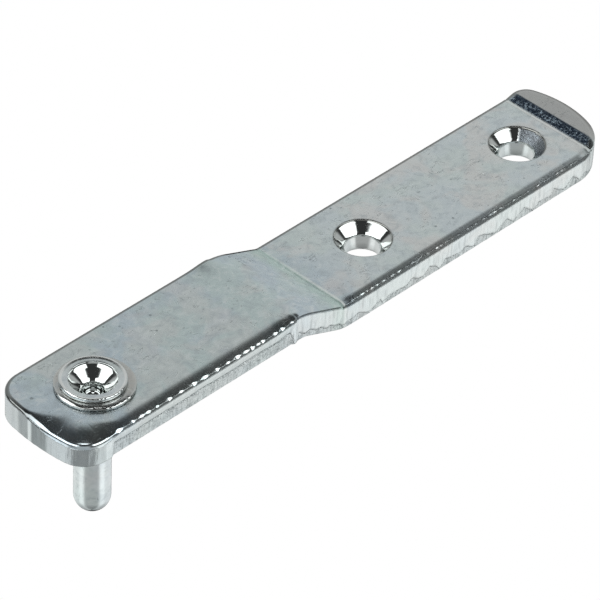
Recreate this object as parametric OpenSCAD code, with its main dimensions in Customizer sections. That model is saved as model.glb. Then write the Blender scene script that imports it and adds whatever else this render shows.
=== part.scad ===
// Cranked pivot arm of a casement stay: a blanked steel bar with two countersunk
// screw holes, a flared pivot pin that turns in it, and a washer under the flare.
// Origin: on the pin axis, at the underside of the pin section. +X runs along the
// arm towards the screw holes, +Z points away from the pin's tip.

/* [Arm] */
// Width of the screw section
arm_w = 20; // [18:0.5:24]
// Extra width of the pin section, both sides together
pin_section_extra_w = 0.4; // [0:0.1:1]
// Thickness of the bar
arm_t = 5; // [4:0.1:6]
// Distance from the pin axis to the pin end
pin_end_x = 12.2; // [11:0.1:16]
// Distance from the pin axis to the screw end
screw_end_x = 111.1; // [109:0.1:120]
// Corner radius of the pin end
pin_end_corner_r = 5; // [3:0.5:8]
// Radius of the shallow curve across the pin end
pin_end_crown_r = 40; // [25:1:60]
// Corner radius of the screw end on its left, towards +Y
screw_end_left_r = 3; // [2:0.5:8]
// Corner radius of the screw end on its right, towards -Y
screw_end_right_r = 8.6; // [5:0.1:8.9]
// Radius of the shallow curve across the screw end
screw_end_crown_r = 18.6; // [16:0.2:60]
// How far the screw end's curve lies off centre, towards +Y
screw_end_crown_y = 1.8; // [0:0.1:3]

/* [Crank] */
// Height of the pin section above the screw section
crank_h = 3.5; // [2:0.1:6]
// Distance from the pin axis to the upper bend
upper_bend_x = 36.5; // [30:0.5:40]
// Distance from the pin axis to the lower bend
lower_bend_x = 45.5; // [43:0.5:50]
// Radius on the outside of each bend
bend_outer_r = 10; // [5:0.5:14]
// Radius on the inside of each bend
bend_inner_r = 3; // [1:0.5:6]

/* [Screw holes] */
// Distance from the pin axis to the first hole
first_hole_x = 60; // [56:0.5:64]
// Distance between the two holes
hole_spacing = 37; // [30:0.5:40]
// Bore of a hole
hole_d = 6; // [4:0.1:6.5]
// Diameter of the countersink at the top face
countersink_d = 9.6; // [8:0.1:12]

/* [End lip] */
// Height of the raised lip above the screw section
lip_h = 0.45; // [0.2:0.05:1]
// Distance from the pin axis to the foot of the lip's slope
lip_x = 105; // [104:0.1:108]
// Length of the lip's slope
lip_slope_l = 1.8; // [0.5:0.1:2.5]

/* [Pivot pin] */
// Diameter of the pin
pin_d = 6; // [5.5:0.1:8]
// Length of the pin below the arm
pin_l = 20; // [12:0.5:30]
// Diameter of the neck that turns in the arm
neck_d = 5; // [4.5:0.1:5.2]
// Radial running clearance round the neck
running_gap = 0.05; // [0.03:0.01:0.09]
// Radial growth of the flare at the top of the arm
flare = 1.1; // [0.9:0.1:1.2]
// Diameter of the clinched head
head_d = 10.7; // [10:0.1:12]
// Height of the clinched head above the washer
head_h = 0.75; // [0.7:0.05:1.5]
// Diameter of the conical recess in the head
recess_d = 7.8; // [6:0.1:8]
// Depth of the conical recess
recess_h = 2.2; // [1.5:0.1:2.4]
// Diameter of the pilot hole under the recess
pilot_d = 3.4; // [2.5:0.1:3.4]
// Depth of the pilot hole under the recess
pilot_h = 2; // [1:0.1:3]

/* [Washer] */
// Outer diameter of the washer
washer_d = 13; // [12:0.1:15]
// Thickness of the washer
washer_t = 0.7; // [0.5:0.05:1.2]
// Hole in the washer
washer_hole_d = 8; // [7.9:0.1:8.8]
// How far the washer sits off the pin's axis, along X
washer_shift_x = 0.2; // [0:0.05:0.2]
// How far the washer sits off the pin's axis, along Y
washer_shift_y = -0.2; // [-0.2:0.05:0]

/* [Hidden] */
$fn = 96;
bend_steps = 10;
cut = 1;
pin_section_w = arm_w + pin_section_extra_w;
// The width steps down where the upper bend begins to curve
width_step_x = upper_bend_x - 2;
neck_r = neck_d / 2;
bore_r = neck_r + running_gap;
flare_r = neck_r + flare;
// End play between the head and the washer; the shoulder bears on the arm at z = 0
end_play = 0.05;
washer_top = arm_t + washer_t;
head_bottom = washer_top + end_play;
head_top = head_bottom + head_h;
tip_r = pin_d / 2;
screw_top = arm_t - crank_h;

// Points of an arc that rounds the corner at b, between a and c, with radius r
function rounded(a, b, c, r) =
    let (
        u = (a - b) / norm(a - b),
        v = (c - b) / norm(c - b),
        half = acos(u * v) / 2,
        middle = b + (u + v) / norm(u + v) * r / sin(half),
        start = b + u * r / tan(half),
        turn = 180 - 2 * half,
        side = sign(cross(u, v)),
        spoke = start - middle
    )
    [for (i = [0 : bend_steps])
        let (t = -side * turn * i / bend_steps)
        middle + [spoke.x * cos(t) - spoke.y * sin(t), spoke.x * sin(t) + spoke.y * cos(t)]];

// Side view of the arm, longer than the arm at both ends
module arm_side() {
    left = -pin_end_x - cut;
    right = screw_end_x + cut;
    upper_bend = [upper_bend_x, arm_t];
    lower_bend = [lower_bend_x, screw_top];
    drop = [0, -arm_t];
    lip_foot = [lip_x, screw_top];
    polygon(concat(
        [[left, 0], [left, arm_t]],
        rounded([left, arm_t], upper_bend, lower_bend, bend_outer_r),
        rounded(upper_bend, lower_bend, lip_foot, bend_inner_r),
        [lip_foot, [lip_x + lip_slope_l, screw_top + lip_h], [right, screw_top + lip_h]],
        [[right, -crank_h]],
        rounded([right, -crank_h], lower_bend + drop, upper_bend + drop, bend_outer_r),
        rounded(lower_bend + drop, upper_bend + drop, [left, 0], bend_inner_r)
    ));
}

// One end of the arm seen from above, facing +X: a shallow curve with a round corner on
// each side that is tangent to it. corners lists each corner's side and radius.
module end_outline(reach, from, w, corners, crown_r, crown_y) {
    crown = [reach - crown_r, crown_y];
    function corner_centre(c) =
        let (y = c[0] * (w / 2 - c[1]))
        [crown.x + sqrt(pow(crown_r - c[1], 2) - pow(y - crown.y, 2)), y];
    function beyond(c) = crown + 1.1 * crown_r * (corner_centre(c) - crown) / (crown_r - c[1]);
    intersection() {
        translate(crown) circle(crown_r, $fn = 4 * $fn);
        polygon([crown, beyond(corners[0]), beyond(corners[1])]);
    }
    for (c = corners) {
        translate(corner_centre(c)) circle(c[1]);
        translate([from, c[0] > 0 ? 0 : -w / 2]) square([corner_centre(c).x - from, w / 2]);
    }
}

// The arm seen from above
module arm_outline() {
    last_hole_x = first_hole_x + hole_spacing;
    mirror([1, 0])
        end_outline(pin_end_x, -cut, pin_section_w,
            [[1, pin_end_corner_r], [-1, pin_end_corner_r]], pin_end_crown_r, 0);
    translate([0, -pin_section_w / 2]) square([width_step_x, pin_section_w]);
    translate([0, -arm_w / 2]) square([last_hole_x, arm_w]);
    end_outline(screw_end_x, last_hole_x - cut, arm_w,
        [[1, screw_end_left_r], [-1, screw_end_right_r]], screw_end_crown_r, screw_end_crown_y);
}

module countersunk_hole() {
    depth = (countersink_d - hole_d) / 2;
    translate([0, 0, -crank_h - cut]) cylinder(h = arm_t + 2 * cut, d = hole_d);
    translate([0, 0, screw_top - depth])
        cylinder(h = depth + cut, d1 = hole_d, d2 = countersink_d + 2 * cut);
}

module pin_bore() {
    translate([0, 0, -cut]) cylinder(h = arm_t + 2 * cut, r = bore_r);
    translate([0, 0, arm_t - flare])
        cylinder(h = flare + cut, r1 = bore_r, r2 = bore_r + flare + cut);
}

module cranked_arm() {
    color([0.66, 0.70, 0.72]) difference() {
        intersection() {
            rotate([90, 0, 0]) linear_extrude(pin_section_w + 2 * cut, center = true) arm_side();
            translate([0, 0, -crank_h - cut]) linear_extrude(arm_t + crank_h + 2 * cut) arm_outline();
        }
        pin_bore();
        for (i = [0, 1])
            translate([first_hole_x + i * hole_spacing, 0, 0]) countersunk_hole();
    }
}

// Half section of the pin's outside, from its round tip up to the clinched head
module pin_half_section() {
    translate([0, -pin_l + tip_r]) intersection() {
        circle(tip_r);
        translate([0, -tip_r]) square([tip_r, tip_r]);
    }
    translate([0, -pin_l + tip_r]) square([tip_r, pin_l - tip_r]);
    polygon([
        [0, -cut],
        [neck_r, -cut],
        [neck_r, arm_t - flare],
        [flare_r, arm_t],
        [flare_r, head_bottom],
        [head_d / 2, head_bottom],
        [head_d / 2, head_top],
        [0, head_top]
    ]);
}

module pivot_pin() {
    color([0.72, 0.75, 0.77]) difference() {
        rotate_extrude() pin_half_section();
        translate([0, 0, head_top - recess_h])
            cylinder(h = recess_h, d1 = pilot_d, d2 = recess_d);
        translate([0, 0, head_top - recess_h - pilot_h])
            cylinder(h = recess_h + pilot_h + cut, d = pilot_d);
    }
}

module washer() {
    color([0.62, 0.65, 0.66]) translate([washer_shift_x, washer_shift_y, arm_t]) difference() {
        cylinder(h = washer_t, d = washer_d);
        translate([0, 0, -cut]) cylinder(h = washer_t + 2 * cut, d = washer_hole_d);
    }
}

cranked_arm();
pivot_pin();
washer();
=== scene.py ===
"""Looks of the cranked casement stay arm: blanked, bright zinc plated steel.

Shapes are worked out in millimetres in the CAD frame and scaled to metres once.
"""

import math
import random

import bmesh
import bpy
import numpy as np
from mathutils import Matrix, Vector
from mathutils.geometry import delaunay_2d_cdt


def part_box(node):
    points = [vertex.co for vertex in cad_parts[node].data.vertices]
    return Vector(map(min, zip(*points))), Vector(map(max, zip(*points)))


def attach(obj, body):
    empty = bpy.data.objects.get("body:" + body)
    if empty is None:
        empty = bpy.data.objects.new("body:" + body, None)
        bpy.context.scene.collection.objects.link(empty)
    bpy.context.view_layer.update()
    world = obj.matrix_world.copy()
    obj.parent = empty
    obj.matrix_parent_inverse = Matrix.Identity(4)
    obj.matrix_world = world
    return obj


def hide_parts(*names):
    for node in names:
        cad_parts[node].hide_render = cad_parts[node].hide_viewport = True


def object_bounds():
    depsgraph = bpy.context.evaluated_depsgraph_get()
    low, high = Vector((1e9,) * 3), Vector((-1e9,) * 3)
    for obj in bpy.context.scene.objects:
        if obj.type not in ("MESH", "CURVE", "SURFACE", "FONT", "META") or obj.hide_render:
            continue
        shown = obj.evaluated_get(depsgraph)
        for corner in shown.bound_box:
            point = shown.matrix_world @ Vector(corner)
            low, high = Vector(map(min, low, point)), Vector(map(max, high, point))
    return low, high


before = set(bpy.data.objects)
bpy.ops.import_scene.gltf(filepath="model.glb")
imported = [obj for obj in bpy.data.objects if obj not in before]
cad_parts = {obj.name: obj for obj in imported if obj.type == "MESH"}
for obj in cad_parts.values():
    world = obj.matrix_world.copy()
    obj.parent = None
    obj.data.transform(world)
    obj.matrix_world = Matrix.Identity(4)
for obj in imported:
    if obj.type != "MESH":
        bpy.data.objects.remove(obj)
cad_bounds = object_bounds()

MM = 0.001


def box_mm(node):
    low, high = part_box(node)
    return np.array(low) / MM, np.array(high) / MM


ARM_LOW, ARM_HIGH = box_mm("cranked_arm")
PIN_LOW, PIN_HIGH = box_mm("pivot_pin")
WASHER_LOW, WASHER_HIGH = box_mm("washer")

# The arm, as part.scad has it
ARM_T = 5.0
CRANK_H = -ARM_LOW[2]
SCREW_TOP = ARM_T - CRANK_H
PIN_SECTION_HALF_W = ARM_HIGH[1]
ARM_HALF_W = 10.0
WIDTH_STEP_X = 34.5
UPPER_BEND_X = 36.5
LOWER_BEND_X = 45.5
BEND_OUTER_R = 10.0
BEND_INNER_R = 3.0
LIP_X = 105.0
LIP_SLOPE_L = 1.8
LIP_H = 0.45
HOLES_X = (60.0, 97.0)
HOLE_R = 3.0
COUNTERSINK_R = 4.8
COUNTERSINK_DEPTH = 1.8
SCREW_END_LEFT_R = 3.0
SCREW_END_RIGHT_R = 8.6
SCREW_END_CROWN_R = 18.6
SCREW_END_CROWN_Y = 1.8
PIN_END_CORNER_R = 5.0
PIN_END_CROWN_R = 40.0
PIN_BORE_R = 2.55
FLARE = 1.1

# The pin and the washer, as part.scad has them
TIP_R = 3.0
NECK_R = 2.5
HEAD_H = 0.75
RECESS_R = 3.9
RECESS_H = 2.2
PILOT_R = 1.7
PILOT_H = 2.0
WASHER_HOLE_R = 4.0

# Rounding of the arm's lower edge
BOTTOM_ROUND = 0.12
# Flat ring round each countersink, and how far the drill tore the hole open below
RIM_LAND = 0.30
BREAKOUT = 0.36
# Direction from the object towards the camera, as an angle from +X seen from above
CAMERA_SIDE = math.radians(-137)


# ---------------------------------------------------------------- helpers


def smoothstep(low, high, x):
    t = np.clip((np.asarray(x, float) - low) / (high - low), 0, 1)
    return t * t * (3 - 2 * t)


def hump(x, middle, width):
    """A smooth hump that is 1 at its middle."""
    return np.exp(-(((x - middle) / width) ** 2))


def ripple(t, wavelength, seed, parts=7):
    """A smooth random wave between about -1 and 1, seeded."""
    rng = random.Random(seed)
    total = np.zeros_like(np.asarray(t, float))
    for _ in range(parts):
        length = wavelength * rng.uniform(0.55, 1.9)
        total += np.sin(2 * math.pi * (t / length + rng.random()))
    return total / math.sqrt(parts) / 1.4


def rounded_path(points, radii, steps=14):
    """A line of (x, z) points with every inner corner rounded to its radius."""
    path = [np.array(points[0], float)]
    for a, b, c, r in zip(points, points[1:], points[2:], radii):
        a, b, c = (np.array(p, float) for p in (a, b, c))
        u = (a - b) / np.linalg.norm(a - b)
        v = (c - b) / np.linalg.norm(c - b)
        half = math.acos(float(np.clip(u @ v, -1, 1))) / 2
        middle = b + (u + v) / np.linalg.norm(u + v) * r / math.sin(half)
        start = b + u * r / math.tan(half) - middle
        end = b + v * r / math.tan(half) - middle
        first = math.atan2(start[1], start[0])
        turn = (math.atan2(end[1], end[0]) - first + math.pi) % (2 * math.pi) - math.pi
        for t in np.linspace(0, 1, steps):
            angle = first + turn * t
            path.append(middle + r * np.array([math.cos(angle), math.sin(angle)]))
    path.append(np.array(points[-1], float))
    return np.array(path)


# How far the side view reaches past both ends of the arm
FAR = 30.0
TOP_PATH = rounded_path(
    [
        (ARM_LOW[0] - FAR, ARM_T),
        (UPPER_BEND_X, ARM_T),
        (LOWER_BEND_X, SCREW_TOP),
        (LIP_X, SCREW_TOP),
        (LIP_X + LIP_SLOPE_L, SCREW_TOP + LIP_H),
        (ARM_HIGH[0] + FAR, SCREW_TOP + LIP_H),
    ],
    [BEND_OUTER_R, BEND_INNER_R, 0.12, 0.3],
)
BOTTOM_PATH = rounded_path(
    [
        (ARM_LOW[0] - FAR, 0),
        (UPPER_BEND_X, 0),
        (LOWER_BEND_X, -CRANK_H),
        (ARM_HIGH[0] + FAR, -CRANK_H),
    ],
    [BEND_INNER_R, BEND_OUTER_R],
)


# Bending pushed some metal up at both edges, just before the bar gets narrower
UPSET_X = 33.6
UPSET_H = 0.28
# The fold line at the lower bend
FOLD_X = LOWER_BEND_X - 0.3
FOLD_DEPTH = 0.08
# Where the lip was pressed up, a low ridge and then a fine groove along its foot
RIDGE_X = LIP_X - 0.55
RIDGE_H = 0.03
GROOVE_DEPTH = 0.05


def top_z(x, y):
    """Height of the top face, with what bending and pressing left on it."""
    flat = np.interp(x, TOP_PATH[:, 0], TOP_PATH[:, 1])
    at_edge = np.clip(np.abs(y) / ARM_HALF_W, 0, 1) ** 4
    upset = UPSET_H * at_edge * hump(x, UPSET_X, 2.4)
    fold = FOLD_DEPTH * hump(x, FOLD_X, 0.27) * (1 - 0.6 * smoothstep(-6.0, 9.0, y))
    lip_foot = RIDGE_H * hump(x, RIDGE_X, 0.2) - GROOVE_DEPTH * hump(x, LIP_X, 0.18)
    return flat + upset - fold + lip_foot


def bottom_z(x):
    return np.interp(x, BOTTOM_PATH[:, 0], BOTTOM_PATH[:, 1])


RING_STEPS = 96
# A triangle that spans two steps of a hole ring has its middle inside this share of the
# ring's radius
INSIDE = 1 - 0.4 * (1 - math.cos(2 * math.pi / RING_STEPS))


class Shape:
    """Collects points, faces and named point masks, then becomes a Blender mesh."""

    # roll: the rounded top edge. side: the sheared side. fracture: torn metal.
    # shear: distance past the tear line. The next two are painted shade: dark rims on the far
    # edges, the countersink rims and the washer's foot, and upright dark bands on the end sides.
    # lip: coarse dark metal, as on the lip's slope. Then burnished metal, drawn bright as a
    # painted highlight. gloss: smoothly cut metal.
    MASKS = ("roll", "side", "fracture", "shear", "burr", "stain", "lip", "line", "gloss")

    def __init__(self):
        self.points = []
        self.faces = []
        self.masks = {name: [] for name in self.MASKS}

    def add(self, points, **masks):
        first = len(self.points)
        self.points.extend(np.asarray(points, float).reshape(-1, 3).tolist())
        count = len(self.points) - first
        for name in self.MASKS:
            values = np.broadcast_to(masks.get(name, 0.0), (count,))
            self.masks[name].extend(float(v) for v in values)
        return list(range(first, first + count))

    def bridge(self, a, b):
        """Quads between two closed rings of the same count."""
        for i in range(len(a)):
            j = (i + 1) % len(a)
            self.faces.append((a[i], a[j], b[j], b[i]))

    def fill(self, outer, holes, inner, hole_circles):
        """Triangles between an outer ring, hole rings and free points, seen from above.

        hole_circles has the centre and the radius of each hole ring.
        """
        ids = list(outer)
        loops = [list(range(len(outer)))]
        for ring in holes:
            loops.append(list(range(len(ids), len(ids) + len(ring))))
            ids += ring
        ids += inner
        flat = [Vector(self.points[i][:2]) for i in ids]
        made = delaunay_2d_cdt(flat, [], loops, 1, 1e-6)
        points, triangles, sources = made[0], made[2], made[3]
        for triangle in triangles:
            middle = sum((points[k] for k in triangle), Vector((0, 0))) / len(triangle)
            if any((middle - Vector(c)).length < INSIDE * r for c, r in hole_circles):
                continue
            self.faces.append(tuple(ids[sources[k][0]] for k in triangle))

    def build(self, name, material):
        mesh = bpy.data.meshes.new(name)
        mesh.from_pydata((np.array(self.points) * MM).tolist(), [], self.faces)
        for mask, values in self.masks.items():
            layer = mesh.attributes.new(mask, "FLOAT", "POINT")
            layer.data.foreach_set("value", values)
        bm = bmesh.new()
        bm.from_mesh(mesh)
        bmesh.ops.recalc_face_normals(bm, faces=bm.faces)
        bm.to_mesh(mesh)
        bm.free()
        mesh.polygons.foreach_set("use_smooth", [True] * len(mesh.polygons))
        mesh.materials.append(material)
        piece = bpy.data.objects.new(name, mesh)
        bpy.context.scene.collection.objects.link(piece)
        return piece


def circle_ring(shape, centre, r, z, **masks):
    t = np.arange(RING_STEPS) / RING_STEPS * 2 * math.pi
    r, z = np.broadcast_to(r, t.shape), np.broadcast_to(z, t.shape)
    points = np.stack([centre[0] + r * np.cos(t), centre[1] + r * np.sin(t), z], 1)
    return shape.add(points, **masks)


# ---------------------------------------------------------------- the arm


def half_width(x):
    step = smoothstep(WIDTH_STEP_X - 0.35, WIDTH_STEP_X + 0.35, x)
    return PIN_SECTION_HALF_W - (PIN_SECTION_HALF_W - ARM_HALF_W) * step


def row_positions(first, last):
    """Places along the arm: close together at the bends and at the lip."""
    places = [first]
    while places[-1] < last:
        x = places[-1]
        step = 0.42
        if UPPER_BEND_X - 4 < x < LOWER_BEND_X + 4:
            step = 0.28
        if abs(x - LOWER_BEND_X) < 1.1:
            step = 0.13
        if LIP_X - 1.3 < x < LIP_X + LIP_SLOPE_L + 0.8:
            step = 0.14
        places.append(x + step)
    places[-1] = last
    return np.array(places)


def arc_points(centre, r, start, end, step=0.22):
    count = max(3, int(abs(end - start) * r / step))
    t = np.linspace(start, end, count)[:-1]
    normal = np.stack([np.cos(t), np.sin(t)], 1)
    return np.array(centre) + r * normal, normal


def end_arcs(reach, half_w, left_r, right_r, crown_r, crown_y):
    """An end's right corner, crown and left corner, for an end that faces +X."""
    crown = np.array([reach - crown_r, crown_y])
    centres = []
    for side, r in ((-1, right_r), (1, left_r)):
        y = side * (half_w - r)
        along = math.sqrt((crown_r - r) ** 2 - (y - crown[1]) ** 2)
        centres.append(np.array([crown[0] + along, y]))
    right, left = centres
    right_angle = math.atan2(*(right - crown)[::-1])
    left_angle = math.atan2(*(left - crown)[::-1])
    arcs = [
        arc_points(right, right_r, -math.pi / 2, right_angle),
        arc_points(crown, crown_r, right_angle, left_angle),
        arc_points(left, left_r, left_angle, math.pi / 2),
    ]
    points = np.concatenate([a[0] for a in arcs])
    normals = np.concatenate([a[1] for a in arcs])
    return points, normals, right[0], left[0]


def arm_outline():
    """The arm's outline seen from above, anticlockwise, with outward normals."""
    end, end_normal, right_x, left_x = end_arcs(
        ARM_HIGH[0], ARM_HALF_W, SCREW_END_LEFT_R, SCREW_END_RIGHT_R,
        SCREW_END_CROWN_R, SCREW_END_CROWN_Y,
    )
    tail, tail_normal, tail_x, _ = end_arcs(
        -ARM_LOW[0], PIN_SECTION_HALF_W, PIN_END_CORNER_R, PIN_END_CORNER_R,
        PIN_END_CROWN_R, 0.0,
    )
    right = row_positions(-tail_x, right_x)
    # The side that faces the camera has places at half steps too
    right = np.sort(np.concatenate([right[:-1], (right[1:] + right[:-1]) / 2]))
    left = row_positions(-tail_x, left_x)[::-1][:-1]
    points = np.concatenate([
        np.stack([right, -half_width(right)], 1),
        end,
        np.stack([left, half_width(left)], 1),
        -tail,
    ])
    normals = np.concatenate([
        np.stack([0 * right, 0 * right - 1], 1),
        end_normal,
        np.stack([0 * left, 0 * left + 1], 1),
        -tail_normal,
    ])
    return points, normals


def blend_styles(base, *layers):
    """Edge measurements: a base value each, then other values mixed in by weight."""
    style = {name: np.full(len(layers[0][0]), value) for name, value in base.items()}
    for weight, values in layers:
        for name, value in values.items():
            style[name] = style[name] + (value - style[name]) * weight
    return style


def profile_values(reach, power, slope, corner_r, facet, facet_l, foot_r):
    """One edge profile: a soft slope, a tight corner, a steep facet, a small foot.

    reach is how far in from the side the slope begins, and power how late it steepens.
    slope and facet are tilts in degrees.
    """
    return {
        "reach": reach,
        "power": power,
        "slope": math.radians(slope),
        "corner_r": corner_r,
        "facet": math.radians(facet),
        "facet_l": facet_l,
        "foot_r": foot_r,
    }


def beads(x, seed):
    """Short rounded dents along the edge, deep on the pin section and faint beyond it."""
    rng = random.Random(seed)
    total = np.zeros_like(x)
    place = -4.0
    while place < LIP_X:
        on_pin_section = place < WIDTH_STEP_X
        width = rng.uniform(0.18, 0.50)
        size = rng.uniform(0.25, 1.0) if on_pin_section else rng.uniform(0.0, 0.07)
        total = total + size * hump(x, place, width)
        place += rng.uniform(0.9, 3.2) if on_pin_section else rng.uniform(0.8, 2.4)
    return np.clip(total, 0, 1)


def torn_line(x, seed):
    """Depth below the top face where the sheared band gives way to torn metal."""
    rng = random.Random(seed)
    places, depths = [LOWER_BEND_X + 1], [4.2]
    while places[-1] < LIP_X:
        high = rng.uniform(2.9, 3.9)
        places += [places[-1] + rng.uniform(1.0, 2.6), places[-1] + rng.uniform(3.0, 5.5)]
        depths += [high, rng.uniform(4.1, 4.8)]
    return np.interp(x, places, depths) + 0.12 * ripple(x, 1.6, seed)


# The pin end's side has upright stripes of painted shade, standing in for its facets'
# different reflections: distance round the end, darkness
END_SHADE_PLACES = (-8, -4, -3.4, -1.6, -1.4, -0.8, -0.6, 2.3, 3, 7, 7.6, 11, 11.6, 13, 13.3, 15.2)
END_SHADE_LEVELS = (0.3, 0.3, 0.75, 0.75, 0.1, 0.1, 0.95, 0.9, 0.4, 0.4, 0.55, 0.5, 0.35, 0.35, 0, 0)


def distance_round(points, travel):
    """Distance round the outline from the middle of the pin end, towards the camera."""
    around = travel - travel[np.argmin(points[:, 0])]
    return np.where(around < -travel[-1] / 2, around + travel[-1], around)


def tear_depth(x, travel, trimmed, crank, screw_end):
    """How far below the top face the sheared band gives way to torn metal."""
    tear = torn_line(x, 5)
    tear_crank = 3.9 + 0.35 * ripple(travel, 2.6, 13)
    tear = tear + (tear_crank - tear) * crank
    tear_trimmed = 2.6 + 0.10 * ripple(travel, 8.0, 11) + 2.3 * smoothstep(33.0, 34.3, x)
    tear = np.where(x < 35, tear_trimmed, tear)
    # The pin end has no torn band, and the screw end only a low one
    tear = tear + (5.4 - tear) * (1 - trimmed) * (1 - smoothstep(34.0, 35.0, x))
    return tear + (4.6 - tear) * screw_end


def edge_style(points, normals):
    """How the blanking tool left each place on the edge, along the outline, and where shade is
    painted on it.
    """
    x = points[:, 0]
    travel = np.cumsum(np.linalg.norm(points - np.roll(points, 1, 0), axis=1))
    around = distance_round(points, travel)
    # Which stretch of the edge a place is on, as weights from 0 to 1
    near = smoothstep(0.25, 0.8, -normals[:, 1])
    end_roll = smoothstep(-3.6, 4.0, around) * (1 - smoothstep(12.5, 17.0, around))
    crank = smoothstep(33.5, 35.5, x) * (1 - smoothstep(44.0, 48.5, x))
    screw_section = smoothstep(44.0, 48.5, x)
    screw_end = smoothstep(103.0, 106.5, x)
    long_side = smoothstep(0.97, 0.995, np.abs(normals[:, 1]))
    # The long sides of the pin section were trimmed back a little below their top edge
    trimmed = long_side * smoothstep(-5.6, -5.0, x) * (1 - smoothstep(33.6, 34.2, x))

    style = blend_styles(
        profile_values(0.85, 1.4, 12, 0.45, 74, 0.04, 0.08),
        (near, profile_values(2.2, 1.0, 26, 0.05, 62, 0.40, 0.12)),
        (near * crank, profile_values(1.2, 0.9, 24, 0.06, 62, 0.30, 0.10)),
        (near * screw_section, profile_values(1.5, 0.9, 26, 0.03, 60, 0.60, 0.10)),
        (end_roll, profile_values(4.6, 0.9, 19, 0.42, 76, 0.42, 0.10)),
        (screw_end, profile_values(1.2, 1.2, 20, 0.20, 70, 0.10, 0.10)),
    )
    worn_end = smoothstep(-2.8, -1.4, around) * (1 - 0.75 * smoothstep(0.4, 4.0, around))
    worn_end = worn_end * (around < 14)
    dents = near * beads(x, 23) * (1 - crank) * (1 - end_roll)
    # Painted shade: upright dark bands round the pin end's side, and a darker screw end on the
    # side towards the camera
    pin_end_shade = np.interp(around, END_SHADE_PLACES, END_SHADE_LEVELS)
    screw_end_shade = 0.55 * near * smoothstep(101.5, 104.5, x)
    screw_end_shade = screw_end_shade * (0.6 + 0.4 * ripple(travel, 1.4, 9))
    style.update(
        travel=travel,
        trimmed=trimmed,
        dent=np.maximum(dents, worn_end),
        tear=tear_depth(x, travel, trimmed, crank, screw_end),
        groove=0.10 + 0.05 * trimmed,
        taper=0.02 + 0.05 * trimmed,
        recess=0.05 + 0.13 * trimmed,
        # Painted shade: a dark rim along the edges that face away from the camera
        shake=0.010 + 0.010 * (x < -5),
        burr=(1 - near) * (1 - end_roll),
        rough=near * (1 - end_roll) * (0.35 - 0.2 * crank),
        stain=np.where(x < 0, pin_end_shade, screw_end_shade),
    )
    return style


# The edge profile's first ring lies on the flat, this far before the slope begins
FLAT_MARGIN = 0.35
# Where the slope's rings lie, as shares of its width
SLOPE_STEPS = (0.0, 0.15, 0.3, 0.45, 0.58, 0.7, 0.8, 0.9, 1.0)
# How far a dent cuts back from the tight corner, along the slope and along the facet
DENT = 0.32


def edge_profile(style):
    """Inset, drop, roll and roughness of each ring from the flat top to the sheared side."""
    slope, facet, power = style["slope"], style["facet"], style["power"]
    corner_r, foot_r, facet_l = style["corner_r"], style["foot_r"], style["facet_l"]
    dent, rough = DENT * style["dent"], style["rough"]
    foot_in = foot_r * (1 - np.sin(facet))
    facet_in = foot_in + facet_l * np.cos(facet)
    corner_in = facet_in + corner_r * (np.sin(facet) - np.sin(slope))
    slope_w = style["reach"] - corner_in - DENT
    slope_drop = slope_w * np.tan(slope) / (power + 1)
    rings = [(style["reach"] + FLAT_MARGIN, 0.0 * slope, 0.0, 0.0)]
    for t in SLOPE_STEPS:
        inset = corner_in + DENT + slope_w * (1 - t)
        rings.append((inset, slope_drop * t ** (power + 1), 0.3 * t, 0.0))
    drop = slope_drop + DENT * np.tan(slope)
    for t in np.linspace(0, 1, 6):
        a = slope + (facet - slope) * t
        inset = facet_in + corner_r * (np.sin(facet) - np.sin(a))
        sink = drop + corner_r * (np.cos(slope) - np.cos(a))
        # A dent pulls the corner's first rings up the slope and its last down the facet
        up, down = dent * max(0.0, 1 - 2 * t), dent * max(0.0, 2 * t - 1)
        inset = inset + up - down * np.cos(facet)
        sink = sink - up * np.tan(slope) + down * np.sin(facet)
        flat = dent * (1 - abs(2 * t - 1))
        rings.append((inset + 0.45 * flat, sink + 0.22 * flat, 0.5 + 0.5 * t, 0.4 * rough * t))
    drop = drop + corner_r * (np.cos(slope) - np.cos(facet))
    for t in (0.85, 1.0):
        inset = foot_in + facet_l * np.cos(facet) * (1 - t)
        rings.append((inset, drop + facet_l * np.sin(facet) * t, 1.0, rough))
    drop = drop + facet_l * np.sin(facet)
    for t in (0.5, 1.0):
        a = facet + (math.pi / 2 - facet) * t
        inset = foot_r * (1 - np.sin(a))
        sink = drop + foot_r * (np.cos(facet) - np.cos(a))
        rings.append((inset, sink, 0.6 * (1 - t), 0.3 * rough * (1 - t)))
    return rings


# Rings from the top of the sheared side down to its bottom
SIDE_LEVELS = 44


def inset_line(points, normals, inset):
    """The outline, moved in by its own amount at each place."""
    return points - normals * np.reshape(inset, (-1, 1))


def top_edge_rings(shape, points, normals, style, profile):
    """Rings from the flat top, over the soft slope, down to the sheared side."""
    rings = []
    for inset, drop, roll, rough in profile:
        xy = inset_line(points, normals, inset)
        z = top_z(xy[:, 0], xy[:, 1]) - drop
        on_top = 1 - min(1.0, 2 * roll)
        rings.append(shape.add(
            np.column_stack([xy, z]),
            roll=roll,
            fracture=rough,
            # Painted shade on the roll of the far edges
            burr=style["burr"] * smoothstep(0.1, 0.4, roll),
            lip=lip_mask(xy[:, 0]) * on_top,
            # Burnished line, drawn bright as a painted highlight
            line=burnish_highlight_mask(xy[:, 0]) * on_top,
        ))
    return rings


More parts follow.
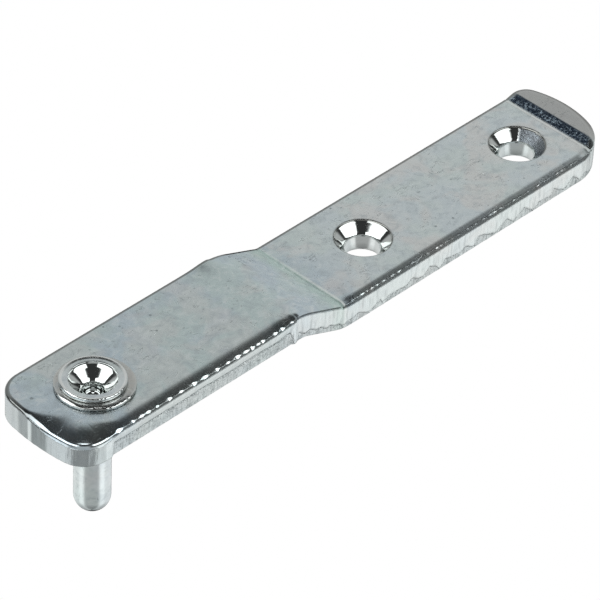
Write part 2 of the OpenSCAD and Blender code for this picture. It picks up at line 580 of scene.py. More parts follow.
def side_rings(shape, points, normals, style, drop):
    """Rings down the side: sheared, then torn below the tear line, then rounded under."""
    rings = []
    travel, trimmed = style["travel"], style["trimmed"]
    top_edge = top_z(points[:, 0], points[:, 1])
    upper = top_edge - drop
    lower = bottom_z(points[:, 0]) + BOTTOM_ROUND
    for t in np.linspace(0, 1, SIDE_LEVELS)[1:]:
        z = upper + (lower - upper) * t
        depth = top_edge - z
        past = depth - style["tear"]
        torn = smoothstep(-0.05, 0.1, past)
        groove = style["groove"] * hump(past, 0, 0.19)
        recess = style["recess"] * trimmed * smoothstep(0.0, 0.5, t)
        ledge = 0.045 * smoothstep(-0.05, 0.25, past) * (1 - trimmed)
        taper = style["taper"] * np.clip(past, 0, 2)
        shake = style["shake"] * ripple(travel + 0.25 * depth, 2.2, 31)
        shake = shake * smoothstep(0.0, 0.25, t)
        grain = 0.022 * ripple(travel + 2.3 * depth, 0.9, 37) * torn * (1 - 0.6 * trimmed)
        xy = inset_line(points, normals, groove + recess + ledge + taper + shake + grain)
        rings.append(shape.add(
            np.column_stack([xy, z]),
            side=1.0,
            fracture=torn,
            shear=np.clip(past, -1, 1),
            # Painted shade in upright bands on the end sides
            stain=style["stain"],
        ))
    side_inset = recess + ledge + taper + shake
    for turn in (math.pi / 4, math.pi / 2):
        inset = side_inset + BOTTOM_ROUND * (1 - math.cos(turn))
        z = lower - BOTTOM_ROUND * math.sin(turn)
        xy = inset_line(points, normals, inset)
        rings.append(shape.add(np.column_stack([xy, z]), side=math.cos(turn)))
    return rings


def arm_holes(shape):
    """All holes: their rings at the top and at the bottom, and both sets' circles."""
    top_rings, bottom_rings, top_circles, bottom_circles = [], [], [], []
    for x in HOLES_X:
        upper_ring, lower_ring = screw_hole(shape, x)
        top_rings.append(upper_ring)
        bottom_rings.append(lower_ring)
        top_circles.append(((x, 0), COUNTERSINK_R + RIM_LAND))
        bottom_circles.append(((x, 0), HOLE_R + BREAKOUT))
    bore_top = circle_ring(shape, (0, 0), PIN_BORE_R + FLARE, ARM_T)
    bore_low = circle_ring(shape, (0, 0), PIN_BORE_R, ARM_T - FLARE)
    bore_bottom = circle_ring(shape, (0, 0), PIN_BORE_R, 0)
    shape.bridge(bore_top, bore_low)
    shape.bridge(bore_low, bore_bottom)
    top_rings.append(bore_top)
    bottom_rings.append(bore_bottom)
    top_circles.append(((0, 0), PIN_BORE_R + FLARE))
    bottom_circles.append(((0, 0), PIN_BORE_R))
    return top_rings, bottom_rings, top_circles, bottom_circles


def clear_of(grid, circles, margin):
    """Grid points that keep a margin from every hole."""
    clear = np.ones(len(grid), bool)
    for centre, r in circles:
        clear &= np.hypot(grid[:, 0] - centre[0], grid[:, 1] - centre[1]) > r + margin
    return grid[clear]


def arm():
    shape = Shape()
    points, normals = arm_outline()
    style = edge_style(points, normals)
    profile = edge_profile(style)
    rings = top_edge_rings(shape, points, normals, style, profile)
    rings += side_rings(shape, points, normals, style, profile[-1][1])
    for a, b in zip(rings, rings[1:]):
        shape.bridge(a, b)
    top_rings, bottom_rings, top_circles, bottom_circles = arm_holes(shape)

    rows = row_positions(ARM_LOW[0] + 1, ARM_HIGH[0] - 1)
    columns = np.linspace(-ARM_HALF_W + 0.8, ARM_HALF_W - 0.8, 25)
    grid = np.array([(x, y) for x in rows for y in columns])
    grid = grid[inside(grid, inset_line(points, normals, profile[0][0] + 0.25))]
    above = clear_of(grid, top_circles, 0.75)
    x, z = above[:, 0], top_z(above[:, 0], above[:, 1])
    # The burnished line at the lip's foot is drawn bright as a painted highlight
    free = shape.add(np.column_stack([above, z]), lip=lip_mask(x), line=burnish_highlight_mask(x))
    shape.fill(rings[0], top_rings, free, top_circles)
    below = clear_of(grid[::3], bottom_circles, 0.9)
    free = shape.add(np.column_stack([below, bottom_z(below[:, 0])]))
    shape.fill(rings[-1], bottom_rings, free, bottom_circles)
    return shape


def inside(grid, outline):
    """Which grid points lie inside a closed outline."""
    a, b = outline, np.roll(outline, -1, 0)
    found = np.zeros(len(grid), bool)
    for (ax, ay), (bx, by) in zip(a, b):
        if ay == by:
            continue
        crosses = (ay > grid[:, 1]) != (by > grid[:, 1])
        found ^= crosses & (grid[:, 0] < (bx - ax) * (grid[:, 1] - ay) / (by - ay) + ax)
    return found


def lip_mask(x):
    """The lip's slope, which is left dark and coarse."""
    return smoothstep(LIP_X - 0.12, LIP_X + 0.1, x) * (
        1 - smoothstep(LIP_X + LIP_SLOPE_L - 0.05, LIP_X + LIP_SLOPE_L + 0.25, x)
    )


def burnish_highlight_mask(x):
    """A thin burnished line along the ridge at the foot of the lip, drawn bright as a painted
    highlight.
    """
    return hump(x, RIDGE_X, 0.15)


def screw_hole(shape, x):
    """A countersunk hole with softly broken rims. Returns its top and bottom rings."""
    centre = (x, 0)
    floor = -CRANK_H
    # Depth of the short steep wall above the cone
    land = 0.17
    # Radius, height, gloss, and the painted shade of a dark rim
    profile = [
        (COUNTERSINK_R + RIM_LAND, SCREW_TOP, 0.0, 0.0),
        (COUNTERSINK_R + 0.10, SCREW_TOP - 0.01, 0.0, 0.4),
        (COUNTERSINK_R, SCREW_TOP - 0.05, 0.3, 1.0),
        (COUNTERSINK_R - 0.05, SCREW_TOP - land, 0.6, 1.0),
        (COUNTERSINK_R - 0.16, SCREW_TOP - land - 0.12, 1.0, 0.3),
    ]
    for t in (0.15, 0.35, 0.55, 0.75, 0.95):
        r = COUNTERSINK_R - 0.09 + (HOLE_R + 0.09 - COUNTERSINK_R) * t
        z = SCREW_TOP - land - 0.05 - (COUNTERSINK_DEPTH - land - 0.05) * t
        profile.append((r, z, 1.0, 0.0))
    profile += [
        (HOLE_R + 0.03, SCREW_TOP - COUNTERSINK_DEPTH - 0.01, 0.8, 0.0),
        (HOLE_R, SCREW_TOP - COUNTERSINK_DEPTH - 0.10, 0.6, 0.0),
        (HOLE_R, SCREW_TOP - 2.6, 0.6, 0.0),
        (HOLE_R + 0.01, floor + 1.7, 0.6, 0.0),
        (HOLE_R + 0.04, floor + 1.3, 0.6, 0.0),
        (HOLE_R + 0.16, floor + 0.5, 0.5, 0.0),
        (HOLE_R + 0.26, floor + 0.1, 0.3, 0.0),
        (HOLE_R + BREAKOUT, floor, 0.0, 0.0),
    ]
    rings = []
    t = np.arange(RING_STEPS) / RING_STEPS * 2 * math.pi
    # Angle round the hole, from the wall that faces the camera. The last hole's cone is
    # coarse on one side of it.
    turned = np.degrees((CAMERA_SIDE - t) % (2 * math.pi) - math.pi)
    coarse = smoothstep(0, 9, turned) * (1 - smoothstep(118, 130, turned)) * (x > HOLES_X[0])
    for r, z, gloss, burr in profile:
        waver = 0.016 * np.sin(5 * t + x) * gloss + 0.009 * np.sin(11 * t + 2 * x) * gloss
        rough_cone = coarse * (gloss == 1.0)
        # The rim gets a dark ring of painted shade
        rings.append(circle_ring(
            shape, centre, r + waver, z,
            gloss=gloss * (1 - 0.9 * rough_cone), burr=burr, lip=0.85 * rough_cone,
        ))
    for a, b in zip(rings, rings[1:]):
        shape.bridge(a, b)
    return rings[0], rings[-1]


# ---------------------------------------------------------------- turned pieces


LATHE_STEPS = 240
TURN = np.arange(LATHE_STEPS) / LATHE_STEPS * 2 * math.pi
# Each place's angle from the direction of the camera, positive to its right
OFFSET = np.degrees((TURN - CAMERA_SIDE + math.pi) % (2 * math.pi) - math.pi)


def lathe(profile, centre=(0.0, 0.0), closed=False):
    """A turned shape from entries (radius, height, gloss, bright line, dark rim).

    The radius and the height may vary round it. The bright line is burnished metal with a
    painted highlight, the dark rim painted shade; both may be left out.
    """
    shape = Shape()
    rings = []
    for r, z, gloss, *more in profile:
        line, burr = (more + [0.0, 0.0])[:2]
        if np.ndim(r) == 0 and r == 0:
            rings.append(shape.add([(centre[0], centre[1], z)], gloss=gloss))
            continue
        r, z = np.broadcast_to(r, TURN.shape), np.broadcast_to(z, TURN.shape)
        points = [centre[0] + r * np.cos(TURN), centre[1] + r * np.sin(TURN), z]
        rings.append(shape.add(np.stack(points, 1), gloss=gloss, line=line, burr=burr))
    pairs = list(zip(rings, rings[1:])) + ([(rings[-1], rings[0])] if closed else [])
    for a, b in pairs:
        if len(a) == 1 or len(b) == 1:
            tip, ring = (a, b) if len(a) == 1 else (b, a)
            for i in range(len(ring)):
                shape.faces.append((tip[0], ring[i], ring[(i + 1) % len(ring)]))
        else:
            shape.bridge(a, b)
    return shape


def dressed_rim(seed):
    """Chamfer size round a rim: one long worn flat, and a run of small nicks."""
    worn = smoothstep(-54, -46, OFFSET) * (1 - smoothstep(-30, -22, OFFSET))
    rng = random.Random(seed)
    nicks = np.zeros_like(OFFSET)
    place = 4.0
    while place < 62:
        width = rng.uniform(1.6, 3.0)
        nicks = nicks + rng.uniform(0.5, 1.0) * np.exp(-(((OFFSET - place) / width) ** 2))
        place += rng.uniform(5.5, 8.5)
    return 0.05 + 0.16 * worn + 0.13 * np.clip(nicks, 0, 1)


def pin():
    head_top = PIN_HIGH[2]
    head_low = head_top - HEAD_H
    head_r = PIN_HIGH[0]
    pilot_top = head_top - RECESS_H
    pilot_floor = pilot_top - PILOT_H
    profile = [(0, PIN_LOW[2], 0.0)]
    for a in np.linspace(0, math.pi / 2, 15)[1:]:
        profile.append((TIP_R * math.sin(a), PIN_LOW[2] + TIP_R * (1 - math.cos(a)), 0.0))
    profile += [(TIP_R, z, 0.0) for z in (-14.0, -10.0, -6.0, -3.0, -1.0)]
    chamfer = dressed_rim(3)
    profile += [
        # Shoulder under the arm, neck and flare inside it
        (TIP_R, -0.25, 0.0),
        (TIP_R - 0.08, -0.06, 0.0),
        (TIP_R - 0.25, 0.0, 0.0),
        (NECK_R, 0.0, 0.0),
        (NECK_R, ARM_T - FLARE, 0.0),
        (NECK_R + FLARE, ARM_T, 0.0),
        # Clinched head: its side, its worn rim, a burnished ring drawn bright as a painted
        # highlight just inside it, and its slightly dished top
        (NECK_R + FLARE, head_low, 0.0),
        (head_r - 0.12, head_low, 0.4),
        (head_r - 0.02, head_low + 0.08, 0.6),
        (head_r, head_low + 0.25, 0.6),
        (head_r - 0.01, head_top - 0.07 - chamfer, 0.6),
        (head_r - 0.02 - 0.1 * chamfer, head_top - 0.05 - 0.8 * chamfer, 0.8),
        (head_r - 0.02 - 0.9 * chamfer, head_top - 0.03, 0.8),
        (head_r - 0.06 - chamfer, head_top, 0.2, 0.6),
        (head_r - 0.36, head_top, 0.0, 0.9),
        (head_r - 0.46, head_top - 0.03, 0.0, 0.6),
        (head_r - 0.60, head_top - 0.09, 0.0),
        (head_r - 0.80, head_top - 0.10, 0.0),
        # Rim of the recess
        (RECESS_R + 0.16, head_top - 0.10, 0.0),
        (RECESS_R + 0.06, head_top - 0.12, 0.4),
        (RECESS_R, head_top - 0.18, 0.8),
        (RECESS_R - 0.04, head_top - 0.33, 1.0),
        (RECESS_R - 0.10, head_top - 0.42, 1.0),
    ]
    for t in (0.25, 0.5, 0.75, 0.96):
        r = RECESS_R - 0.10 + (PILOT_R + 0.10 - RECESS_R) * t
        profile.append((r, head_top - 0.42 - (RECESS_H - 0.42) * t, 1.0))
    profile += [
        (PILOT_R - 0.05, pilot_top - 0.12, 0.9),
        (PILOT_R - 0.08, pilot_top - 0.8, 0.9),
        (PILOT_R - 0.12, pilot_floor + 0.4, 0.9),
        (PILOT_R - 0.45, pilot_floor + 0.08, 0.8),
        (0, pilot_floor, 0.8),
    ]
    return lathe(profile)


def washer():
    centre = (WASHER_LOW + WASHER_HIGH)[:2] / 2
    low, high = WASHER_LOW[2], WASHER_HIGH[2]
    r = (WASHER_HIGH[0] - WASHER_LOW[0]) / 2
    chamfer = 0.8 * dressed_rim(8)
    ragged = 0.02 * np.sin(9 * TURN) + 0.015 * np.sin(23 * TURN) - 0.03
    profile = [
        (WASHER_HOLE_R, low, 0.0),
        (WASHER_HOLE_R, high - 0.05, 0.0),
        (WASHER_HOLE_R + 0.05, high, 0.0),
        (r - 0.75, high, 0.0),
        (r - 0.40, high - 0.03, 0.1),
        (r - 0.10 - chamfer + ragged, high - 0.10, 0.5),
        (r - 0.04 + ragged, high - 0.12 - chamfer, 0.8),
        # Painted shade darkens the side towards its foot, where it sits on the arm
        (r + ragged, high - 0.18 - chamfer, 0.6, 0.0, 0.3),
        (r + ragged, low + 0.20, 0.6, 0.0, 0.8),
        (r - 0.05 + ragged, low + 0.06, 0.4, 0.0, 1.0),
        (r - 0.14, low, 0.0),
    ]
    return lathe(profile, centre, closed=True)


# ---------------------------------------------------------------- materials


class Nodes:
    """Short names for the shader nodes that the materials share."""

    def __init__(self, tree):
        self.tree = tree

    def new(self, kind, **values):
        node = self.tree.nodes.new(kind)
        for name, value in values.items():
            setattr(node, name, value)
        return node

    def link(self, source, target):
        self.tree.links.new(source, target)

    def put(self, socket, value):
        if isinstance(value, bpy.types.NodeSocket):
            self.link(value, socket)
        else:
            socket.default_value = value

    def math(self, operation, a, b=0.0):
        node = self.new("ShaderNodeMath", operation=operation)
        for socket, value in zip(node.inputs, (a, b)):
            self.put(socket, value)
        return node.outputs[0]

    def plus(self, a, b):
        return self.math("ADD", a, b)

    def minus(self, a, b):
        return self.math("SUBTRACT", a, b)

    def times(self, a, b):
        return self.math("MULTIPLY", a, b)

    def distance(self, a, b):
        return self.math("ABSOLUTE", self.minus(a, b))

    def smooth(self, value, low, high, to_low=0.0, to_high=1.0):
        node = self.new("ShaderNodeMapRange", interpolation_type="SMOOTHSTEP")
        names = ("Value", "From Min", "From Max", "To Min", "To Max")
        for name, v in zip(names, (value, low, high, to_low, to_high)):
            self.put(node.inputs[name], v)
        return node.outputs["Result"]

    def mix(self, factor, a, b):
        node = self.new("ShaderNodeMix", data_type="RGBA")
        self.put(node.inputs[0], factor)
        self.put(node.inputs[6], a)
        self.put(node.inputs[7], b)
        return node.outputs[2]

    def mask(self, name):
        return self.new("ShaderNodeAttribute", attribute_name=name).outputs["Fac"]

    def noise(self, vector, scale, detail=2.0, roughness=0.5, distortion=0.0):
        node = self.new("ShaderNodeTexNoise")
        self.link(vector, node.inputs["Vector"])
        node.inputs["Scale"].default_value = scale
        node.inputs["Detail"].default_value = detail
        node.inputs["Roughness"].default_value = roughness
        node.inputs["Distortion"].default_value = distortion
        return node.outputs["Fac"]

    def millimetres(self, stretch=(1, 1, 1)):
        place = self.new("ShaderNodeTexCoord").outputs["Object"]
        scaled = self.new("ShaderNodeVectorMath", operation="MULTIPLY")
        self.link(place, scaled.inputs[0])
        scaled.inputs[1].default_value = [s / MM for s in stretch]
        return scaled.outputs[0]


def rgb(r, g, b):
    return (r, g, b, 1.0)


# Colours that all the zinc pieces share
FOLD_GREEN = rgb(0.60, 0.76, 0.69)
FOLD_PAINTED_SHADE = rgb(0.22, 0.32, 0.27)
FOLD_PAINTED_HIGHLIGHT = rgb(0.98, 1.0, 0.97)
SCREW_SECTION_PALE = rgb(0.93, 0.96, 0.94)
END_PAD_GREY = rgb(0.50, 0.485, 0.47)
MOTTLE_DARK = rgb(0.50, 0.55, 0.58)
MOTTLE_LIGHT = rgb(0.88, 0.92, 0.92)
WEAR_DARK = rgb(0.24, 0.27, 0.28)
SIDE_LIGHT = rgb(0.86, 0.88, 0.87)
SIDE_DARK = rgb(0.22, 0.245, 0.25)
LIP_DARK = rgb(0.03, 0.045, 0.07)
LIP_FLECK = rgb(0.50, 0.62, 0.72)
BURNISH_HIGHLIGHT = rgb(0.95, 0.95, 0.93)
CUT_METAL = rgb(0.62, 0.64, 0.63)
RIM_SHADE_DARK = rgb(0.12, 0.115, 0.10)


def fold_lines(n, colour, x, y, grain):
    """A greenish band before the lower bend, then a line of painted shade and one of painted
    highlight at its fold.
    """
    band = n.times(n.smooth(x, 41.5, 44.6), n.smooth(x, 46.3, 45.2))
    colour = n.mix(n.times(band, 0.75), colour, FOLD_GREEN)
    wobble = n.smooth(grain, 0.3, 0.7, -0.08, 0.08)
    past_bend = n.minus(x, n.plus(LOWER_BEND_X, wobble))
    fade = n.smooth(y, 10.0, -6.0, 0.35, 1.0)
    # Painted shade just before the bend, then a painted highlight just past it
    dark = n.smooth(n.distance(past_bend, -0.30), 0.30, 0.08)
    colour = n.mix(n.times(dark, n.times(fade, 0.55)), colour, FOLD_PAINTED_SHADE)
    light = n.smooth(n.distance(past_bend, 0.25), 0.34, 0.08)
    return n.mix(n.times(light, n.times(fade, 0.65)), colour, FOLD_PAINTED_HIGHLIGHT)


def plate_colour(n, mm, x, y, grain, cool, green, warm):
    """The plate's tarnish: slow clouds of hue, finer light and dark mottling, and the fold's
    painted shade and highlight.
    """
    clouds = n.noise(mm, 0.10, 3.0, 0.6)
    blotches = n.noise(mm, 0.13, 4.0, 0.55, 0.6)
    mottle = n.noise(mm, 0.55, 5.0, 0.65, 0.8)
    colour = n.mix(n.smooth(clouds, 0.40, 0.60), rgb(*cool), rgb(*green))
    warmer_beyond = n.smooth(x, 20.0, 70.0, 0.45, 1.0)
    warmth = n.times(n.smooth(blotches, 0.46, 0.62, 0.0, 0.85), warmer_beyond)
    colour = n.mix(warmth, colour, rgb(*warm))
    colour = fold_lines(n, colour, x, y, grain)
    paler = n.smooth(x, LOWER_BEND_X, LOWER_BEND_X + 8, 0.0, 0.42)
    colour = n.mix(paler, colour, SCREW_SECTION_PALE)
    colour = n.mix(n.smooth(mottle, 0.48, 0.68, 0.0, 0.45), colour, MOTTLE_DARK)
    colour = n.mix(n.smooth(mottle, 0.50, 0.32, 0.0, 0.50), colour, MOTTLE_LIGHT)
    pad = n.smooth(x, LIP_X + LIP_SLOPE_L - 0.2, LIP_X + LIP_SLOPE_L + 0.3, 0.0, 0.8)
    return n.mix(pad, colour, END_PAD_GREY)


def wear_marks(n, mm):
    """Small pits, and curly marks where one noise crosses its middle."""
    pits = n.new("ShaderNodeTexVoronoi", feature="F1")
    n.link(mm, pits.inputs["Vector"])
    pits.inputs["Scale"].default_value = 0.55
    pick = n.new("ShaderNodeSeparateColor")
    n.link(pits.outputs["Color"], pick.inputs[0])
    # Only some of the cells hold a pit, each of its own size
    size = n.smooth(pick.outputs[0], 0.72, 1.0, 0.0, 0.15)
    pit = n.smooth(n.minus(size, pits.outputs["Distance"]), -0.05, 0.06)
    pit = n.times(pit, n.math("GREATER_THAN", size, 0.01))
    curls = n.noise(n.millimetres((0.30, 0.62, 0.62)), 1.0, 2.0, 0.6, 1.4)
    curl = n.smooth(n.distance(curls, 0.5), 0.020, 0.006)
    broken = n.smooth(n.noise(mm, 0.42, 3.0, 0.7), 0.54, 0.62)
    return n.math("MAXIMUM", pit, n.times(n.times(curl, broken), 0.65))


def side_shade(n, x, drag, fracture):
    """Darkness of the side: drag lines, painted shade in upright bands and in the groove where it
    tore, cracks below that.
    """
    uprights = n.noise(n.millimetres((2.6, 2.6, 0.5)), 1.0, 3.0, 0.6)
    crack = n.noise(n.millimetres((0.28, 0.28, 0.4)), 1.0, 3.0, 0.6, 0.8)
    cracked = n.smooth(n.distance(crack, 0.5), 0.026, 0.008)
    streak = n.times(n.smooth(drag, 0.48, 0.66, 0.0, 0.30), n.smooth(x, 25.0, 36.0, 0.35, 1.0))
    # Painted shade in upright bands on the end sides
    shade = n.plus(streak, n.times(n.mask("stain"), 0.95))
    torn = n.plus(n.times(cracked, 0.3), n.smooth(uprights, 0.42, 0.62, 0.10, 0.40))
    shade = n.plus(shade, n.times(fracture, torn))
    # Painted shade in the groove along the tear line
    tear_groove_shade = n.smooth(n.math("ABSOLUTE", n.mask("shear")), 0.13, 0.04)
    tear_groove_shade = n.times(tear_groove_shade, n.smooth(x, 32.0, 36.0, 0.9, 0.55))
    return n.math("MINIMUM", n.math("MAXIMUM", shade, tear_groove_shade), 0.95)


def lip_colour(n, x, flecks):
    """The lip's slope: dark and coarse, with light blue flecks along its middle."""
    off_middle = n.distance(x, LIP_X + LIP_SLOPE_L / 2)
    amount = n.smooth(off_middle, 0.9, 0.35, 0.1, 1.0)
    # The coarse side of the last hole's cone has faint flecks
    amount = n.math("MAXIMUM", amount, n.smooth(x, LIP_X - 1, LIP_X - 2, 0.0, 0.22))
    return n.mix(n.times(n.smooth(flecks, 0.47, 0.66), amount), LIP_DARK, LIP_FLECK)


# What a height of 1 in the bump measures
RELIEF = 0.02 * MM


def zinc(name, cool, green, warm, base_roughness):
    """Bright zinc plate: a mottled satin face, rougher sides, glossy cut surfaces."""
    material = bpy.data.materials.new(name)
    material.use_nodes = True
    n = Nodes(material.node_tree)
    shader = material.node_tree.nodes["Principled BSDF"]
    shader.inputs["Metallic"].default_value = 1.0

    mm = n.millimetres()
    place = n.new("ShaderNodeSeparateXYZ")
    n.link(mm, place.inputs[0])
    x, y = place.outputs["X"], place.outputs["Y"]
    roll, side, fracture = n.mask("roll"), n.mask("side"), n.mask("fracture")
    lip, gloss = n.mask("lip"), n.mask("gloss")
    grain = n.noise(mm, 2.6, 3.0, 0.6)
    drag = n.noise(n.millimetres((1.5, 1.5, 0.22)), 1.0, 4.0, 0.65)
    flecks = n.noise(mm, 1.9, 4.0, 0.7, 0.4)
    covered = n.math("MAXIMUM", side, n.math("MAXIMUM", gloss, lip))
    wear = n.times(wear_marks(n, mm), n.minus(1.0, covered))

    colour = plate_colour(n, mm, x, y, grain, cool, green, warm)
    colour = n.mix(n.times(wear, 0.55), colour, WEAR_DARK)
    colour = n.mix(n.times(side, 0.55), colour, SIDE_LIGHT)
    # Drag lines and torn metal, with painted shade in bands and in the tear groove
    colour = n.mix(n.times(side_shade(n, x, drag, fracture), side), colour, SIDE_DARK)
    colour = n.mix(lip, colour, lip_colour(n, x, flecks))
    # Burnished line and ring, drawn bright as a painted highlight
    colour = n.mix(n.mask("line"), colour, BURNISH_HIGHLIGHT)
    colour = n.mix(gloss, colour, CUT_METAL)
    # Painted shade: dark rims on the far edges, the countersink rims and the washer's foot
    colour = n.mix(n.times(n.mask("burr"), 0.8), colour, RIM_SHADE_DARK)
    n.link(colour, shader.inputs["Base Color"])

    rough = n.plus(base_roughness, n.times(n.minus(grain, 0.5), 0.14))
    rough = n.plus(rough, n.times(fracture, 0.10))
    rough = n.minus(rough, n.times(gloss, 0.20))
    rough = n.minus(rough, n.smooth(roll, 0.0, 0.3, 0.0, 0.12))
    n.link(n.math("MAXIMUM", rough, 0.07), shader.inputs["Roughness"])

    coarse = n.noise(mm, 1.1, 3.0, 0.65)
    height = n.times(grain, n.plus(0.12, n.times(fracture, 4.0)))
    height = n.plus(height, n.times(coarse, n.plus(0.3, n.times(fracture, 9.0))))
    height = n.plus(height, n.times(drag, n.times(side, 5.0)))
    height = n.plus(height, n.times(coarse, n.times(roll, 0.6)))
    height = n.plus(height, n.times(flecks, n.times(lip, 8.0)))
    height = n.minus(height, n.times(wear, 0.9))
    height = n.times(height, n.smooth(roll, 0.0, 0.25, 1.0, 0.35))
    height = n.times(height, n.minus(1.0, n.times(gloss, 0.9)))
    bump = n.new("ShaderNodeBump")
    bump.inputs["Strength"].default_value = 1.0
    bump.inputs["Distance"].default_value = RELIEF
    n.link(height, bump.inputs["Height"])
    n.link(bump.outputs[0], shader.inputs["Normal"])
    return material


# ---------------------------------------------------------------- studio

CAMERA_AZIMUTH = -47.05
CAMERA_ELEVATION = 39.1
CAMERA_ROLL = 2.59
CAMERA_DISTANCE = 0.71916
CAMERA_LENS = 268.8
LOOK_AT = Vector((0.045585, -0.000147, -0.0034))
# Radius of the white sweep round the object
SWEEP_R = 6

# Brightness of what the metal mirrors
BACKDROP = 0.585
CEILING = 0.045
CEILING_LIGHT = 2.2
WALLS = 0.13
FRONT_WALL = 0.5
TABLE_FRONT = 0.47
TABLE_SIDE = 1.1
TABLE_BACK = 0.85
TABLE_SHADE = 0.05
SOFTBOX = 2.4
# Each softbox: angle to the side of the camera, half width, lowest and highest elevation.
# Its edges fade over twice the angle of SOFT_EDGE.
SOFT_EDGE = 1.5
SOFTBOXES = ((-61, 42, 25, 53), (-109, 7, 34, 56), (71, 33, 25, 53))


def direction(azimuth, elevation):
    a, e = math.radians(azimuth), math.radians(elevation)
    return Vector((math.sin(a) * math.cos(e), -math.cos(a) * math.cos(e), math.sin(e)))


def add_camera():
    data = bpy.data.cameras.new("camera")
    data.lens = CAMERA_LENS
    data.sensor_width = 36
    data.clip_end = 20
    camera = bpy.data.objects.new("camera", data)
    back = direction(CAMERA_AZIMUTH, CAMERA_ELEVATION)
    right = Vector((0, 0, 1)).cross(back).normalized()
    up = back.cross(right)
    r = math.radians(CAMERA_ROLL)
    turned_right = right * math.cos(r) + up * math.sin(r)
    turned_up = up * math.cos(r) - right * math.sin(r)
    turn = Matrix((turned_right, turned_up, back)).transposed().to_4x4()
    camera.matrix_world = Matrix.Translation(LOOK_AT + back * CAMERA_DISTANCE) @ turn
    bpy.context.scene.collection.objects.link(camera)
    bpy.context.scene.camera = camera


def facing(n, place, reach, azimuth):
    """Cosine of the angle, seen from above, between a direction and an azimuth."""
    aim = n.new("ShaderNodeVectorMath", operation="DOT_PRODUCT")
    n.link(place, aim.inputs[0])
    aim.inputs[1].default_value = direction(azimuth, 0)
    return n.math("DIVIDE", aim.outputs["Value"], n.math("MAXIMUM", reach, 0.01))


def softbox(n, place, reach, rise, centre, half_width, low, high):
    """1 inside one softbox and 0 outside it."""
    edge = [math.cos(math.radians(half_width + d)) for d in (SOFT_EDGE, -SOFT_EDGE)]
    window = n.smooth(facing(n, place, reach, CAMERA_AZIMUTH + centre), *edge)
    low, high = [
        [math.sin(math.radians(e + d)) for d in (-SOFT_EDGE, SOFT_EDGE)] for e in (low, high)
    ]
    window = n.times(window, n.smooth(rise, *low))
    return n.times(window, n.smooth(rise, high[1], high[0]))


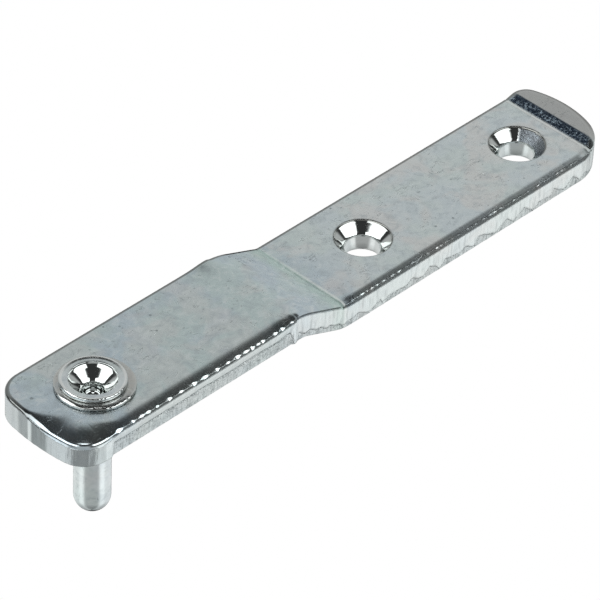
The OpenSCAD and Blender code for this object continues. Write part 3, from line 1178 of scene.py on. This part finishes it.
def add_surroundings():
    """The studio that the metal mirrors: a grey backdrop, a pale table, a dark ceiling."""
    world = bpy.data.worlds.new("studio")
    bpy.context.scene.world = world
    world.use_nodes = True
    n = Nodes(world.node_tree)
    background = world.node_tree.nodes["Background"]
    place = n.new("ShaderNodeTexCoord").outputs["Generated"]
    parts = n.new("ShaderNodeSeparateXYZ")
    n.link(place, parts.inputs[0])
    # rise and reach are the sine and cosine of the elevation. to_camera is 1 at the
    # camera's side and -1 on the far side of the object.
    rise = parts.outputs["Z"]
    reach = n.math("SQRT", n.minus(1.0, n.times(rise, rise)))
    to_camera = facing(n, place, reach, CAMERA_AZIMUTH)
    # Above the horizon: a grey backdrop behind the object, a dark ceiling with one lamp
    # straight above, darkish walls, and a lighter wall behind the camera
    backdrop = n.times(n.smooth(to_camera, -0.38, -0.62), n.smooth(rise, 0.86, 0.67))
    room = n.smooth(rise, 0.45, 0.20, CEILING, WALLS)
    room = n.plus(room, n.smooth(rise, 0.988, 0.996, 0.0, CEILING_LIGHT))
    wall = n.times(n.smooth(to_camera, 0.86, 0.95), n.smooth(rise, 0.60, 0.48))
    room = n.math("MAXIMUM", room, n.times(wall, FRONT_WALL))
    sky = n.smooth(backdrop, 0.0, 1.0, room, BACKDROP)
    for centre, half_width, low, high in SOFTBOXES:
        window = softbox(n, place, reach, rise, centre, half_width, low, high)
        sky = n.plus(sky, n.times(window, SOFTBOX))
    # Below it: a table that is bright to both sides, greyer in front, dark behind
    front = n.smooth(to_camera, 0.55, 0.80, TABLE_SIDE, TABLE_FRONT)
    sides = n.smooth(to_camera, 0.0, 0.25, TABLE_BACK, front)
    behind = n.smooth(to_camera, -0.90, -0.97)
    table = n.smooth(behind, 0.0, 1.0, sides, TABLE_SHADE)
    table = n.times(table, n.smooth(rise, -0.95, -0.66, 0.55, 1.0))
    below = n.smooth(rise, -0.03, -0.14)
    level = n.smooth(below, 0.0, 1.0, sky, table)
    n.link(level, background.inputs["Strength"])
    background.inputs["Color"].default_value = rgb(0.97, 1.0, 1.0)


def add_floor():
    """A plain white sweep. It shows white and leaves the lighting to the studio."""
    material = bpy.data.materials.new("white_sweep")
    material.use_nodes = True
    tree = material.node_tree
    tree.nodes.clear()
    output = tree.nodes.new("ShaderNodeOutputMaterial")
    glow = tree.nodes.new("ShaderNodeEmission")
    glow.inputs["Color"].default_value = rgb(1, 1, 1)
    glow.inputs["Strength"].default_value = 1.0
    tree.links.new(glow.outputs[0], output.inputs[0])
    floor_z = cad_bounds[0][2]
    mesh = bpy.data.meshes.new("sweep")
    bm = bmesh.new()
    bmesh.ops.create_uvsphere(bm, u_segments=64, v_segments=32, radius=SWEEP_R)
    for vertex in bm.verts:
        vertex.co.z = max(vertex.co.z, floor_z)
    bm.to_mesh(mesh)
    bm.free()
    mesh.materials.append(material)
    floor = bpy.data.objects.new("sweep", mesh)
    floor.visible_glossy = False
    floor.visible_diffuse = False
    floor.visible_shadow = False
    bpy.context.scene.collection.objects.link(floor)


add_camera()
add_surroundings()
add_floor()
bpy.context.scene.view_settings.view_transform = "Standard"

# Three hues of tarnish, cool, greenish and warm, and the roughness of the plain face
arm_zinc = zinc("arm_zinc", (0.64, 0.73, 0.79), (0.67, 0.77, 0.765), (0.79, 0.755, 0.745), 0.27)
pin_zinc = zinc("pin_zinc", (0.74, 0.78, 0.80), (0.74, 0.80, 0.79), (0.80, 0.80, 0.79), 0.22)
washer_zinc = zinc("washer_zinc", (0.56, 0.56, 0.54), (0.58, 0.57, 0.54), (0.60, 0.57, 0.54), 0.24)

arm_piece = arm().build("arm_blank", arm_zinc)
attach(arm_piece, "arm")
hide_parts("cranked_arm")

washer_piece = washer().build("clinch_washer", washer_zinc)
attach(washer_piece, "arm")
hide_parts("washer")

pin_piece = pin().build("turned_pin", pin_zinc)
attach(pin_piece, "pin")
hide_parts("pivot_pin")
